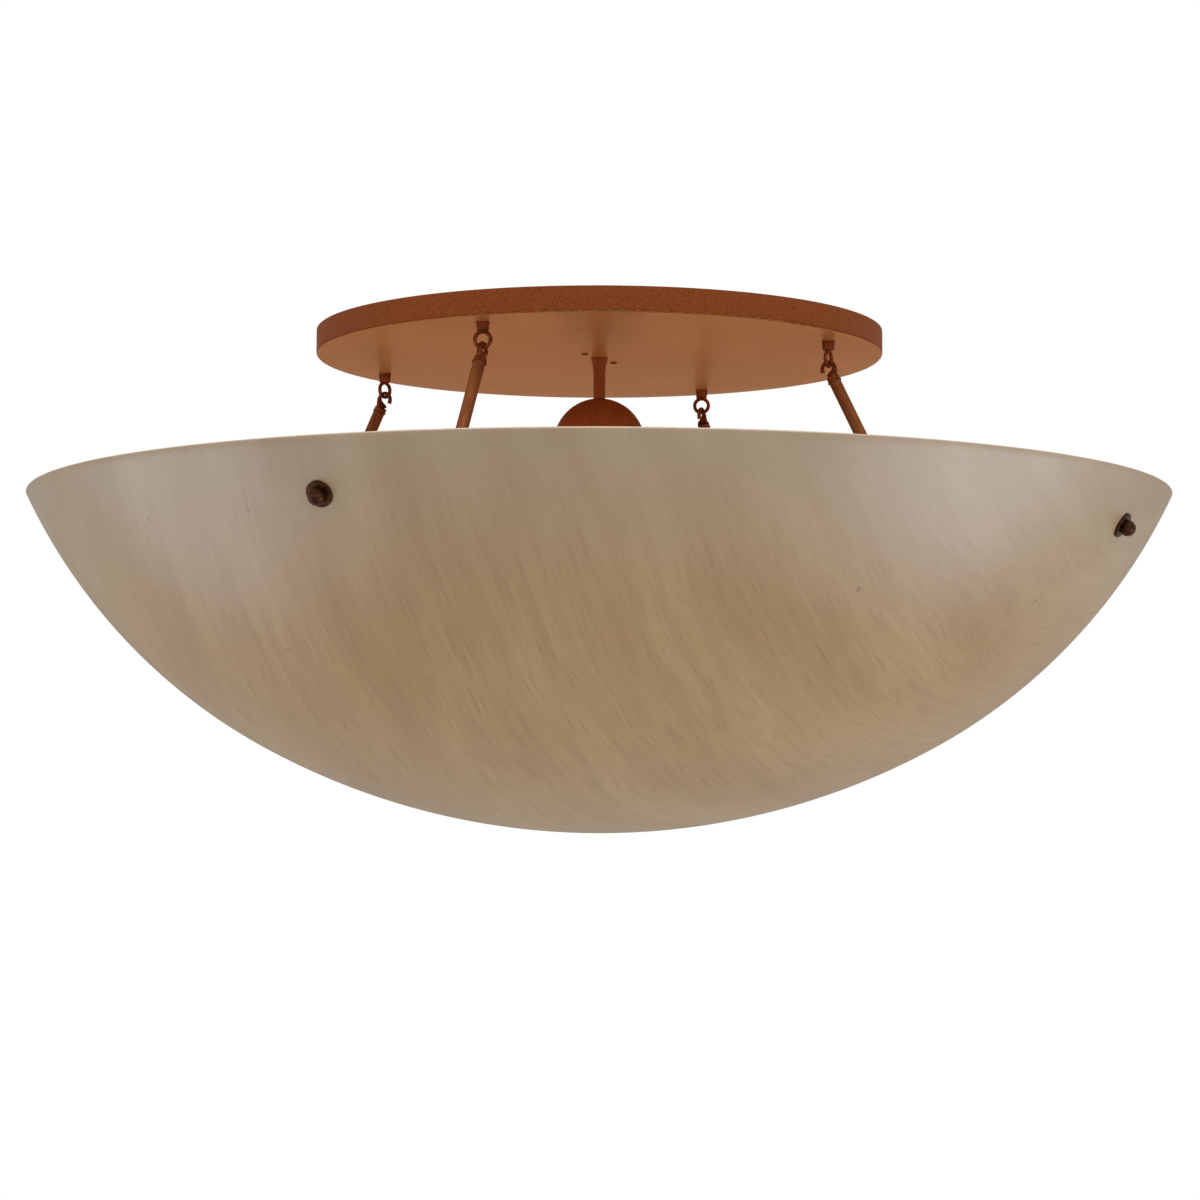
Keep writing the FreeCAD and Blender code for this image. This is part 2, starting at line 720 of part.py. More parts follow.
# ---------------------------------------------------------------- pieces
pieces = {
    "canopy_pan": canopy_pan(),
    "pan_brace": pan_brace(),
    "ceiling_strap": ceiling_strap(),
    "canopy_screws": canopy_screws(),
    "ground_screw": ground_screw(),
    "hanging_pipe": hanging_pipe(),
    "pipe_nuts": pipe_nuts(),
    "stem_tube": stem_tube(),
    "stem_collar": stem_collar(),
    "cluster_dome": cluster_dome(),
    "cluster_cup": cluster_cup(),
    "cluster_nuts": cluster_nuts(),
    "wiring_nipples": wiring_nipples(),
    "canopy_loops": every(canopy_loop(), arm_count),
    "loop_nuts": loop_nuts(),
    "arm_hooks": every(arm_hook(), arm_count),
    "wall_gaskets": wall_gaskets(),
    "knob_studs": knob_studs(),
    "bowl_washers": bowl_washers(),
    "bowl": bowl(),
}
for lamp in range(lamp_count):
    pieces[f"lamp_socket_{lamp + 1}"] = around(lamp_socket(), lamp, lamp_count, lamp_start_deg)
    pieces[f"lamp_cap_{lamp + 1}"] = around(lamp_cap(), lamp, lamp_count, lamp_start_deg)
    pieces[f"lamp_globe_{lamp + 1}"] = around(lamp_globe(), lamp, lamp_count, lamp_start_deg)
for arm in range(arm_count):
    pieces[f"arm_tube_{arm + 1}"] = around(arm_tube(), arm, arm_count)
    pieces[f"arm_foot_{arm + 1}"] = around(arm_foot(), arm, arm_count)
    pieces[f"knob_{arm + 1}"] = around(knob(), arm, arm_count)

os.makedirs("parts", exist_ok=True)
for name, shape in pieces.items():
    shape.exportStep(f"parts/{name}.step")
    print(name, "solids", len(shape.Solids), "valid", shape.isValid(), "mm3", round(shape.Volume))
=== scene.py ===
import math

import bmesh
import bpy
from mathutils import Matrix, Vector


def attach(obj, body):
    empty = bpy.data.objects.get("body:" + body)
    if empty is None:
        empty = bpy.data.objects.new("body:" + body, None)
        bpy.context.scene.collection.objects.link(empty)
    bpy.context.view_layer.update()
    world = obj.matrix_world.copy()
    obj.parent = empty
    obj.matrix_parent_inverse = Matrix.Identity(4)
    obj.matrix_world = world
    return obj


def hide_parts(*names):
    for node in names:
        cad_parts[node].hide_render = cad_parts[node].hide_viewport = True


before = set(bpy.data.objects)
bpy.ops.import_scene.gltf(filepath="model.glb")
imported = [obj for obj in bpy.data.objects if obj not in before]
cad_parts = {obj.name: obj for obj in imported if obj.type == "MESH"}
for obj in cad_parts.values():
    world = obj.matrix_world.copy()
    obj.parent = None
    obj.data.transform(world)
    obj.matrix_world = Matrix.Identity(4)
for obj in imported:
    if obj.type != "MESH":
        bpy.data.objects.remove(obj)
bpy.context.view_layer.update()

# ================================================================ ceiling strap
# A punched steel strap that the ceiling box's two screws hold flat against the ceiling. It is
# sheared from 3 mm strip, drilled and tapped, and zinc plated, so it is grey with a soft spangle
# and has small rounded edges left by the press.

mm = 0.001
UP = Vector((0, 0, 1))


def tint(red, green, blue):
    """Colour given in 0 to 255 screen values, as the shader wants it."""
    def straight(value):
        value /= 255
        return value / 12.92 if value <= 0.04045 else ((value + 0.055) / 1.055) ** 2.4
    return (straight(red), straight(green), straight(blue), 1.0)


def wire(links, target, value):
    """Plug an output into a socket, or give the socket a plain value."""
    if isinstance(value, bpy.types.NodeSocket):
        links.new(value, target)
    else:
        target.default_value = value


class Finish:
    """A surface finish built up from nodes. Each method returns the output to pass on."""

    def __init__(self, name, **sockets):
        self.material = bpy.data.materials.new(name)
        self.material.use_nodes = True
        self.nodes = self.material.node_tree.nodes
        self.links = self.material.node_tree.links
        self.shader = self.nodes["Principled BSDF"]
        self.place = self.add("ShaderNodeTexCoord", out="Object")
        for socket, value in sockets.items():
            self.set(socket, value)

    def set(self, socket, value):
        wire(self.links, self.shader.inputs[socket.replace("_", " ")], value)

    def add(self, kind, wires=(), out=0, **settings):
        node = self.nodes.new(kind)
        for name, value in settings.items():
            setattr(node, name, value)
        for socket, value in dict(wires).items():
            wire(self.links, node.inputs[socket], value)
        return node.outputs[out]

    def stretched(self, scale, *turns, place=None):
        """Coordinates turned step by step and then scaled, for a pattern that runs one way."""
        place = place or self.place
        for turn in turns:
            turn = [math.radians(angle) for angle in turn]
            place = self.add("ShaderNodeMapping", {"Vector": place, "Rotation": turn})
        return self.add("ShaderNodeMapping", {"Vector": place, "Scale": scale})

    def noise(self, scale, place=None, detail=2.0, rough=0.5, out=0):
        return self.add("ShaderNodeTexNoise", {"Vector": place or self.place, "Scale": scale,
                                               "Detail": detail, "Roughness": rough}, out=out)

    def cells(self, scale, place=None, out="Distance"):
        return self.add("ShaderNodeTexVoronoi", {"Vector": place or self.place, "Scale": scale}, out=out)

    def span(self, value, low, high, to_low=0.0, to_high=1.0):
        return self.add("ShaderNodeMapRange", {"Value": value, "From Min": low, "From Max": high,
                                               "To Min": to_low, "To Max": to_high})

    def sums(self, operation, first, second=0.0):
        return self.add("ShaderNodeMath", {0: first, 1: second}, operation=operation)

    def mix(self, factor, first, second):
        return self.add("ShaderNodeMix", {0: factor, 6: first, 7: second}, out=2, data_type="RGBA")

    def ramp(self, value, *stops):
        output = self.add("ShaderNodeValToRGB", {"Fac": value})
        band = output.node.color_ramp
        while len(band.elements) < len(stops):
            band.elements.new(1.0)
        for element, (position, colour) in zip(band.elements, stops):
            element.position = position
            element.color = colour
        return output

    def bump(self, height, distance, strength=1.0):
        """Relief of a height field over that distance, on top of any relief already there."""
        wires = {"Height": height, "Distance": distance, "Strength": strength}
        below = self.shader.inputs["Normal"]
        if below.is_linked:
            wires["Normal"] = below.links[0].from_socket
        self.set("Normal", self.add("ShaderNodeBump", wires))


def merged(node):
    """Clean closed mesh from a CAD node's loose triangles."""
    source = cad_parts[node].data
    mesh = bpy.data.meshes.new(node + "_copy")
    mesh.from_pydata([corner.co[:] for corner in source.vertices], [],
                     [list(face.vertices) for face in source.polygons])
    return joined_up(mesh, turn_out=False)


def joined_up(mesh, turn_out=True, merge=2e-6):
    """Merge doubles, drop slivers and, for a mesh made here, point its faces outwards."""
    shape = bmesh.new()
    shape.from_mesh(mesh)
    bmesh.ops.remove_doubles(shape, verts=shape.verts, dist=merge)
    bmesh.ops.dissolve_degenerate(shape, edges=shape.edges, dist=merge / 4)
    if turn_out:
        bmesh.ops.recalc_face_normals(shape, faces=shape.faces)
    shape.to_mesh(mesh)
    shape.free()
    return mesh


def smoothed(mesh, sharp_deg=32):
    """Smooth shading that breaks at edges sharper than the angle."""
    mesh.shade_smooth()
    mesh.set_sharp_from_angle(angle=math.radians(sharp_deg))
    return mesh


def shown(name, mesh, finish, body, slot, *stands_for):
    """Put a finished mesh in the scene as a piece: its finish, the body it rides on, its nodes."""
    if finish:
        mesh.materials.clear()
        mesh.materials.append(finish.material)
    piece = bpy.data.objects.new(name, mesh)
    bpy.context.scene.collection.objects.link(piece)
    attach(piece, body)
    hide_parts(*stands_for)


def maker_of(mesh):
    """Object that holds a mesh while modifiers work on it."""
    maker = bpy.data.objects.new("maker", mesh)
    bpy.context.scene.collection.objects.link(maker)
    return maker


def eased(mesh, width):
    """Round the mesh's sharp edges by a width, as a press, a cast or a coat of paint leaves them."""
    flat_deg, edge_deg, shading_deg = 0.4, 32, 47
    shape = bmesh.new()
    shape.from_mesh(mesh)
    bmesh.ops.dissolve_limit(shape, angle_limit=math.radians(flat_deg), verts=shape.verts,
                             edges=shape.edges, delimit={"NORMAL"})
    shape.to_mesh(mesh)
    shape.free()
    maker = maker_of(smoothed(mesh, shading_deg))
    rounding = maker.modifiers.new("edges", "BEVEL")
    rounding.width = width
    rounding.segments = 2
    rounding.limit_method = "ANGLE"
    rounding.angle_limit = math.radians(edge_deg)
    rounding.use_clamp_overlap = True
    maker.modifiers.new("normals", "WEIGHTED_NORMAL").keep_sharp = True
    return settled(maker)


def settled(maker):
    """Plain mesh of an object with its modifiers carried out; the object itself goes."""
    bpy.context.view_layer.update()
    depsgraph = bpy.context.evaluated_depsgraph_get()
    mesh = bpy.data.meshes.new_from_object(maker.evaluated_get(depsgraph),
                                           preserve_all_data_layers=True, depsgraph=depsgraph)
    bpy.data.objects.remove(maker)
    return mesh


zinc = Finish("zinc_plate", Metallic=1.0)
spangle = zinc.cells(240, out="Color")
cloud = zinc.noise(60, detail=4)
spangle_red = zinc.add("ShaderNodeSeparateColor", {"Color": spangle})
zinc.set("Base_Color", zinc.mix(zinc.span(cloud, 0.35, 0.7), tint(176, 178, 178), tint(142, 146, 150)))
zinc.set("Roughness", zinc.span(spangle_red, 0, 1, 0.30, 0.46))
zinc.bump(zinc.noise(900), 0.00002)

pressed_edge = 0.35 * mm
shown("strap_plate", eased(merged("ceiling_strap"), pressed_edge), zinc, "canopy", "zinc_steel",
      "ceiling_strap")

# ---------------------------------------------------------------- earthing screw
# A cheese-headed steel screw tapped into the strap, dipped in green lacquer so that an
# electrician finds it. The lacquer is glossy and a little thin on the rim of the head.

lacquer = Finish("green_lacquer", Metallic=0.15, Coat_Weight=0.6, Coat_Roughness=0.12, Roughness=0.3)
thin = lacquer.noise(420, detail=3)
lacquer.set("Base_Color", lacquer.mix(lacquer.span(thin, 0.4, 0.75),
                                      tint(34, 122, 62), tint(66, 138, 84)))
lacquer.bump(lacquer.noise(300), 0.00004)
screw_edge = 0.25 * mm
shown("earthing_screw", eased(merged("ground_screw"), screw_edge), lacquer, "canopy", "ground_green",
      "ground_screw")

# ---------------------------------------------------------------- threaded pipe and its nuts
# A hollow steel pipe, threaded from end to end at one thread a millimetre, that the strap, the
# brace and the lamp cluster all screw on to. Hexagon lock nuts hold it under the strap and on
# the brace. The wires come down its bore.

pipe_radius = 5.15
pipe_bore_radius = 3.75
pipe_end = -160.03
pipe_pitch = 1.0
thread_depth = 0.5
pipe_steps = 28
thread_sharp_deg = 60


class Recipe:
    """A Geometry Nodes tree with named inputs, run once on a host mesh to give a plain mesh."""

    def __init__(self, name, **inputs):
        self.tree = bpy.data.node_groups.new(name, "GeometryNodeTree")
        self.links = self.tree.links
        sockets = self.tree.interface
        sockets.new_socket("Geometry", in_out="INPUT", socket_type="NodeSocketGeometry")
        sockets.new_socket("Geometry", in_out="OUTPUT", socket_type="NodeSocketGeometry")
        self.keys = {}
        for label, kind in dict(inputs, Finish="Material").items():
            socket = sockets.new_socket(label, in_out="INPUT", socket_type="NodeSocket" + kind)
            self.keys[label] = socket.identifier
        self.given = self.tree.nodes.new("NodeGroupInput").outputs

    def add(self, kind, wires=(), out=0, **settings):
        node = self.tree.nodes.new(kind)
        for name, value in settings.items():
            setattr(node, name, value)
        for socket, value in dict(wires).items():
            wire(self.links, node.inputs[socket], value)
        return node.outputs[out]

    def sums(self, operation, first, second=0.0):
        return self.add("ShaderNodeMath", {0: first, 1: second}, operation=operation)

    def whole(self, operation, first, second):
        return self.add("FunctionNodeIntegerMath", {0: first, 1: second}, operation=operation)

    def end(self, geometry):
        """Make instances real, give the result its material and hand it out."""
        real = self.add("GeometryNodeRealizeInstances", {"Geometry": geometry})
        coated = self.add("GeometryNodeSetMaterial",
                          {"Geometry": real, "Material": self.given["Finish"]})
        self.links.new(coated, self.tree.nodes.new("NodeGroupOutput").inputs["Geometry"])
        return self

    def run(self, host, finish, **values):
        """Carry the recipe out on a host mesh with these sizes; the result holds this finish alone."""
        maker = maker_of(host)
        step = maker.modifiers.new("recipe", "NODES")
        step.node_group = self.tree
        for label, value in dict(values, Finish=finish.material).items():
            step[self.keys[label]] = value
        mesh = settled(maker)
        mesh.polygons.foreach_set("material_index", [0] * len(mesh.polygons))
        mesh.materials.clear()
        mesh.materials.append(finish.material)
        return mesh


def lathe_recipe():
    """Turn a profile, held as a row of points, about the Z axis, with a thread where it is marked."""
    recipe = Recipe("lathe", Rows="Int", Steps="Int", Pitch="Float", Depth="Float")
    rows, steps = recipe.given["Rows"], recipe.given["Steps"]
    grid = recipe.add("GeometryNodeMeshGrid",
                      {"Vertices X": recipe.whole("ADD", steps, 1), "Vertices Y": rows})
    index = recipe.add("GeometryNodeInputIndex")
    step = recipe.whole("DIVIDE_FLOOR", index, rows)
    row = recipe.whole("MODULO", index, rows)
    place = recipe.add("GeometryNodeSampleIndex",
                       {"Geometry": recipe.given["Geometry"],
                        "Value": recipe.add("GeometryNodeInputPosition"),
                        "Index": row}, data_type="FLOAT_VECTOR")
    cut = recipe.add("GeometryNodeSampleIndex",
                     {"Geometry": recipe.given["Geometry"],
                      "Value": recipe.add("GeometryNodeInputNamedAttribute", {"Name": "thread"}),
                      "Index": row}, data_type="FLOAT")
    corner = recipe.add("ShaderNodeSeparateXYZ", {"Vector": place}).node.outputs
    share = recipe.sums("DIVIDE", step, steps)
    climb = recipe.sums("ADD", recipe.sums("DIVIDE", corner["Z"], recipe.given["Pitch"]), share)
    groove = recipe.sums("MULTIPLY", recipe.sums("PINGPONG", climb, 0.5), 2.0)
    sunk = recipe.sums("MULTIPLY", recipe.sums("MULTIPLY", groove, recipe.given["Depth"]), cut)
    radius = recipe.sums("SUBTRACT", corner["X"], sunk)
    angle = recipe.sums("MULTIPLY", share, 2 * math.pi)
    swung = recipe.add("ShaderNodeCombineXYZ",
                       {"X": recipe.sums("MULTIPLY", radius, recipe.sums("COSINE", angle)),
                        "Y": recipe.sums("MULTIPLY", radius, recipe.sums("SINE", angle)),
                        "Z": corner["Z"]})
    moved = recipe.add("GeometryNodeSetPosition", {"Geometry": grid, "Position": swung})
    return recipe.end(recipe.add("GeometryNodeMergeByDistance", {"Geometry": moved, "Distance": 1e-6}))


lathe = lathe_recipe()


def turned(profile, finish, steps=64, pitch=1.0, depth=0.0, sharp_deg=32):
    """Mesh turned from (radius, height) points in millimetres; a third value of 1 marks thread."""
    if profile[0][0] > 0:
        profile = list(profile) + [profile[0]]
    host = bpy.data.meshes.new("profile")
    host.from_pydata([(p[0] * mm, 0, p[1] * mm) for p in profile], [], [])
    marks = host.attributes.new("thread", "FLOAT", "POINT")
    marks.data.foreach_set("value", [p[2] if len(p) > 2 else 0.0 for p in profile])
    mesh = lathe.run(host, finish, Rows=len(profile), Steps=steps, Pitch=pitch * mm, Depth=depth * mm)
    return smoothed(joined_up(mesh), sharp_deg)


def threaded(radius, low, high, pitch, per_turn=4):
    """Profile points of a threaded run between two heights."""
    count = max(2, round(abs(high - low) / pitch * per_turn))
    return [(radius, low + (high - low) * i / count, 1.0 if 0 < i < count else 0.0)
            for i in range(count + 1)]


def threaded_tube(low, high):
    """Length of the hollow threaded pipe between two heights."""
    profile = ([(pipe_bore_radius, low)] + threaded(pipe_radius, low, high, pipe_pitch)
               + [(pipe_bore_radius, high)])
    return turned(profile, zinc, pipe_steps, pipe_pitch, thread_depth, thread_sharp_deg)


shown("threaded_pipe", threaded_tube(pipe_end, 0), None, "canopy", "zinc_steel", "hanging_pipe")
shown("lock_nuts", eased(merged("pipe_nuts"), 0.4 * mm), zinc, "canopy", "zinc_steel", "pipe_nuts")

# ================================================================ canopy pan
# A shallow pan spun from 1.5 mm steel sheet, open against the ceiling. The side wall has the
# fine orange peel of baked copper-brown enamel. The flat underside is smoother, over rings that the
# spinning left, and its colour is painted far lighter than the wall's: painted light and painted sheen.

enamel = Finish("pan_enamel", Specular_IOR_Level=0.06, Specular_Tint=tint(236, 178, 128))
facing = enamel.add("ShaderNodeSeparateXYZ", {"Vector": enamel.add("ShaderNodeTexCoord", out="Normal")})
flat = enamel.span(enamel.sums("ABSOLUTE", facing.node.outputs["Z"]), 0.6, 0.95)
peel = enamel.noise(820, detail=3, rough=0.55)
mottle = enamel.noise(9, detail=5, rough=0.6)
side_colour = enamel.mix(enamel.span(peel, 0.35, 0.68), tint(122, 59, 28), tint(158, 88, 47))
# The flat faces are painted far lighter and paler than the wall: painted light and painted sheen for the
# bounced light and grazing reflection on the shaded underside.
under_colour_painted_light = enamel.mix(enamel.span(mottle, 0.35, 0.7), tint(220, 168, 116), tint(230, 178, 124))
enamel.set("Base_Color", enamel.mix(flat, side_colour, under_colour_painted_light))
enamel.set("Roughness", enamel.span(flat, 0, 1, 0.5, 0.36))
enamel.set("Metallic", enamel.span(flat, 0, 1, 0.12, 0.45))
rings = enamel.add("ShaderNodeTexWave", {"Vector": enamel.place, "Scale": 60, "Distortion": 1.5,
                                         "Detail": 2, "Detail Scale": 4},
                   out="Fac", wave_type="RINGS", rings_direction="Z")
enamel.bump(enamel.sums("MULTIPLY", peel, enamel.span(flat, 0, 1, 1.0, 0.12)), 0.0006, 0.6)
enamel.bump(enamel.sums("MULTIPLY", rings, enamel.span(flat, 0.5, 1)), 0.00003, 0.5)

pan = maker_of(smoothed(merged("canopy_pan"), 40))
pan.modifiers.new("normals", "WEIGHTED_NORMAL").keep_sharp = True
shown("pan_shell", settled(pan), enamel, "canopy", "pan_paint", "canopy_pan")

# ---------------------------------------------------------------- pan brace
# A flat steel cross inside the pan. The loops' shanks and the pipe pass through it, so it takes
# the bowl's weight off the thin sheet. Sheared strip, zinc plated as the strap is.

shown("brace_cross", eased(merged("pan_brace"), pressed_edge), zinc, "canopy", "zinc_steel",
      "pan_brace")

# ---------------------------------------------------------------- hanging loops
# Four cast brass rings on tapered feet, screwed up through the pan and locked by nuts on the
# brace, each a little turned as its thread pulled up. They are finished in antique copper
# lacquer: dark in the hollows, rubbed through to a warmer red on the crowns.

warm_sheen = tint(226, 170, 128)
copper = Finish("antique_copper", Metallic=0.4, Specular_IOR_Level=0.1, Specular_Tint=warm_sheen)
patch = copper.noise(140, detail=5, rough=0.65)
grit = copper.noise(900, detail=3)
copper.set("Base_Color", copper.ramp(patch, (0.28, tint(78, 36, 19)), (0.52, tint(132, 68, 37)),
                                     (0.74, tint(160, 92, 54))))
copper.set("Roughness", copper.span(grit, 0.3, 0.7, 0.34, 0.52))
copper.bump(grit, 0.00025, 0.5)

loop_circle = 266.7
pan_underside = -26.0
foot_height = 9.5
shank_top = 10.5
shank_radius = 4.0
shank_pitch = 1.25
ring_height = -18.0
ring_radius = 8.0
loop_wire = 2.0
loop_turns_deg = (0, 14, -14, 18)


def quarter(number):
    """Turn about the Z axis that brings a piece from the first of four places to the numbered one."""
    return Matrix.Rotation(math.radians(90 * (number - 1)), 4, "Z")


def together(*meshes):
    """One mesh from several, with the first one's materials."""
    whole = bmesh.new()
    for mesh in meshes:
        whole.from_mesh(mesh)
    whole.to_mesh(meshes[0])
    whole.free()
    return meshes[0]


foot_profile = ([(0, -foot_height), (5.5, -foot_height), (6.0, -9.1), (6.8, 0)]
                + threaded(shank_radius, 0.05, shank_top, shank_pitch) + [(0, shank_top)])
wire_section = [(ring_radius + loop_wire * math.cos(a), loop_wire * math.sin(a))
                for a in [2 * math.pi * i / 20 for i in range(20)]]
for number, extra in zip(range(1, 5), loop_turns_deg):
    foot = turned(foot_profile, copper, steps=48, pitch=shank_pitch, depth=0.55)
    ring = turned(wire_section, copper, steps=72, sharp_deg=60)
    ring.transform(Matrix.Translation((0, 0, ring_height * mm))
                   @ Matrix.Rotation(math.radians(90), 4, "Y"))
    loop = together(foot, ring)
    loop.transform(quarter(number) @ Matrix.Translation((loop_circle * mm, 0, pan_underside * mm))
                   @ Matrix.Rotation(math.radians(extra), 4, "Z"))
    shown(f"hanging_loop_{number}", loop, None, "canopy", "metal_paint", "canopy_loops")
shown("loop_lock_nuts", eased(merged("loop_nuts"), pressed_edge), zinc, "canopy", "zinc_steel",
      "loop_nuts")

# ---------------------------------------------------------------- canopy screws
# Two slotted screws beside the stem, driven up through pan and brace into the strap. Their flat
# heads are enamelled with the pan, so they all but vanish on its underside.

shown("pan_screws", eased(merged("canopy_screws"), screw_edge), enamel, "canopy", "metal_paint",
      "canopy_screws")

# ================================================================ stem
# A drawn tube slipped over the pipe between pan and dome, with a flared ring at its top that
# hides the hole in the pan. Both are turned brass under the same brown enamel as the pan's wall,
# here painted lighter than the wall: painted light for the shade under the pan.

stem_radius = 6.35
stem_bore_radius = 5.25
stem_top = pan_underside
stem_foot = -70.6
flare_radius = 8.9
flare_foot = -39.7


def softened(corners, reach, parts=3):
    """Profile with its corners rounded by short curves, as polishing leaves them."""
    least_deg = 20
    points = []
    count = len(corners)
    closed = corners[0][0] > 0
    for i, corner in enumerate(corners):
        here = Vector(corner[:2])
        before, after = Vector(corners[i - 1][:2]), Vector(corners[(i + 1) % count][:2])
        if (not closed and i in (0, count - 1)) or len(corner) > 2:
            points.append(tuple(corner))
            continue
        back, on = before - here, after - here
        if back.length == 0 or on.length == 0 or math.degrees(back.angle(on)) > 180 - least_deg:
            points.append(tuple(here))
            continue
        start = here + back.normalized() * min(reach, 0.45 * back.length)
        end = here + on.normalized() * min(reach, 0.45 * on.length)
        for step in range(parts + 1):
            t = step / parts
            points.append(tuple(start * (1 - t) ** 2 + here * 2 * t * (1 - t) + end * t * t))
    return points


# This enamel is the pan wall's paint coloured lighter: painted light for the shade on the stem, dome,
# cone and feet.
brown = Finish("brown_enamel_painted_lighter", Metallic=0.35, Specular_IOR_Level=0.15, Specular_Tint=warm_sheen)
orange_peel = brown.noise(620, detail=3, rough=0.6)
tone = brown.span(brown.noise(45, detail=4), 0.3, 0.7)
brown.set("Base_Color", brown.mix(brown.span(orange_peel, 0.36, 0.68),
                                  brown.mix(tone, tint(138, 72, 36), tint(152, 82, 42)),
                                  brown.mix(tone, tint(168, 94, 52), tint(182, 106, 60))))
brown.set("Roughness", brown.span(orange_peel, 0.3, 0.7, 0.4, 0.55))
brown.bump(orange_peel, 0.0007, 0.6)

sleeve = turned([(stem_bore_radius, stem_foot), (stem_radius, stem_foot),
                 (stem_radius, stem_top), (stem_bore_radius, stem_top)], brown)
shown("stem_sleeve", sleeve, None, "canopy", "metal_paint", "stem_tube")
flare_inner = stem_radius + 0.1
flare_edge = 0.3
flare_band = 2.0
flare_curve = [(flare_inner + flare_edge + (flare_radius - flare_inner - flare_edge) * t ** 2.2,
                flare_foot + (stem_top - flare_band - flare_foot) * t)
               for t in [i / 14 for i in range(15)]]
flare = turned(softened([(flare_inner, flare_foot)] + flare_curve
                        + [(flare_radius, stem_top), (flare_inner, stem_top)], 0.4), brown)
shown("stem_flare", flare, None, "canopy", "metal_paint", "stem_collar")

# ================================================================ lamp dome and cone
# The cluster under the stem is two spun brass shells, a half ball over a shallow cone whose lip
# slips inside it. A lock nut inside and a cap nut underneath close them on the pipe.

dome_radius = 49.5
dome_seat_radius = 7.5
shell = 1.2
dome_centre = stem_foot - math.sqrt(dome_radius ** 2 - dome_seat_radius ** 2)
cone_height = 36.0
cone_floor = dome_centre - cone_height
lip_height = 6.0
droop = math.radians(30)
slip = 0.1
pipe_way = pipe_radius + slip
shell_steps = 112


def arc(centre, radius, start_deg, end_deg, count):
    """Points along an arc in the profile plane, angles from the outward level."""
    turns = [math.radians(start_deg + (end_deg - start_deg) * i / count) for i in range(count + 1)]
    return [(centre[0] + radius * math.cos(a), centre[1] + radius * math.sin(a)) for a in turns]


seat_deg = math.degrees(math.acos(dome_seat_radius / dome_radius))
under_height = stem_foot - shell - dome_centre
under_deg = math.degrees(math.asin(under_height / (dome_radius - shell)))
dome = turned([(pipe_way, stem_foot - shell), (pipe_way, stem_foot)]
              + arc((0, dome_centre), dome_radius, seat_deg, 0, 30)
              + arc((0, dome_centre), dome_radius - shell, 0, under_deg, 30), brown, shell_steps)
shown("lamp_dome", dome, None, "canopy", "metal_paint", "cluster_dome")
cone_foot = dome_radius - cone_height * math.tan(droop)
slant = shell / math.cos(droop)
lip = math.sqrt((dome_radius - shell) ** 2 - lip_height ** 2) - slip
lip_top = dome_centre + lip_height
cone = turned(softened([(pipe_way, cone_floor), (cone_foot, cone_floor), (dome_radius, dome_centre),
                        (lip, dome_centre), (lip, lip_top), (lip - shell, lip_top),
                        (lip - shell, dome_centre - slant), (cone_foot - slant, cone_floor + shell),
                        (pipe_way, cone_floor + shell)], 0.5), brown, shell_steps)
shown("lamp_cone", cone, None, "canopy", "metal_paint", "cluster_cup")

brass = Finish("turned_brass", Metallic=1.0, Roughness=0.25)
lathe_lines = brass.noise(1, place=brass.stretched((60, 60, 2600)), detail=2)
brass.set("Base_Color", brass.mix(brass.noise(160, detail=4), tint(198, 152, 84), tint(226, 184, 112)))
brass.set("Roughness", brass.span(lathe_lines, 0.3, 0.7, 0.18, 0.36))
brass.bump(lathe_lines, 0.00004, 0.6)
shown("cap_and_lock_nut", eased(merged("cluster_nuts"), pressed_edge), brass, "canopy", "brass_nut",
      "cluster_nuts")

# ---------------------------------------------------------------- lampholders
# Four glazed porcelain lampholders, slip cast and fired white, stand square to the cone on
# short hollow nipples. The glaze pools in the corners and leaves a soft bead round the mouth.

seat = Vector((dome_radius - cone_height / 2 * math.tan(droop), 0, dome_centre - cone_height / 2))
lamp_axis = Vector((math.cos(droop), 0, -math.sin(droop)))


def set_on(mesh, base, direction, azimuth_deg=0.0):
    """Move a mesh built up the Z axis to its base point and direction, then round to its place."""
    stand = Matrix.Translation(base * mm) @ UP.rotation_difference(direction).to_matrix().to_4x4()
    mesh.transform(Matrix.Rotation(math.radians(azimuth_deg), 4, "Z") @ stand)
    return mesh


glaze = Finish("white_glaze", Coat_Weight=0.8, Coat_Roughness=0.05, Roughness=0.28)
glaze.set("Base_Color", glaze.mix(glaze.span(glaze.noise(70, detail=4), 0.35, 0.7),
                                  tint(236, 232, 222), tint(226, 219, 205)))
glaze.bump(glaze.noise(160), 0.00012, 0.4)
holder_floor = 12
holder_profile = softened([(5.2, 0), (14, 0), (17.8, 8), (17.8, 41), (19, 41), (19, 45), (13.3, 45),
                           (13.3, holder_floor), (5.2, holder_floor)], 0.9, parts=4)
for number in range(1, 5):
    holder = set_on(turned(holder_profile, glaze, steps=72), seat, lamp_axis, 90 * number - 45)
    shown(f"lampholder_{number}", holder, None, "canopy", "socket_porcelain", f"lamp_socket_{number}")


def ring_recipe():
    """Stand copies of a piece round the vertical axis."""
    recipe = Recipe("ring_of_copies", Count="Int", Start="Float")
    points = recipe.add("GeometryNodePoints", {"Count": recipe.given["Count"]})
    turn = recipe.sums("MULTIPLY", recipe.add("GeometryNodeInputIndex"), 2 * math.pi)
    turn = recipe.sums("DIVIDE", turn, recipe.given["Count"])
    spin = recipe.add("ShaderNodeCombineXYZ", {"Z": recipe.sums("ADD", turn, recipe.given["Start"])})
    copies = recipe.add("GeometryNodeInstanceOnPoints",
                        {"Points": points, "Instance": recipe.given["Geometry"],
                         "Rotation": recipe.add("FunctionNodeEulerToRotation", {"Euler": spin})})
    return recipe.end(copies)


ring_of_copies = ring_recipe()


def every(mesh, finish, start_deg=0.0):
    """Four of a piece, a quarter turn apart."""
    return ring_of_copies.run(mesh, finish, Count=4, Start=math.radians(start_deg))


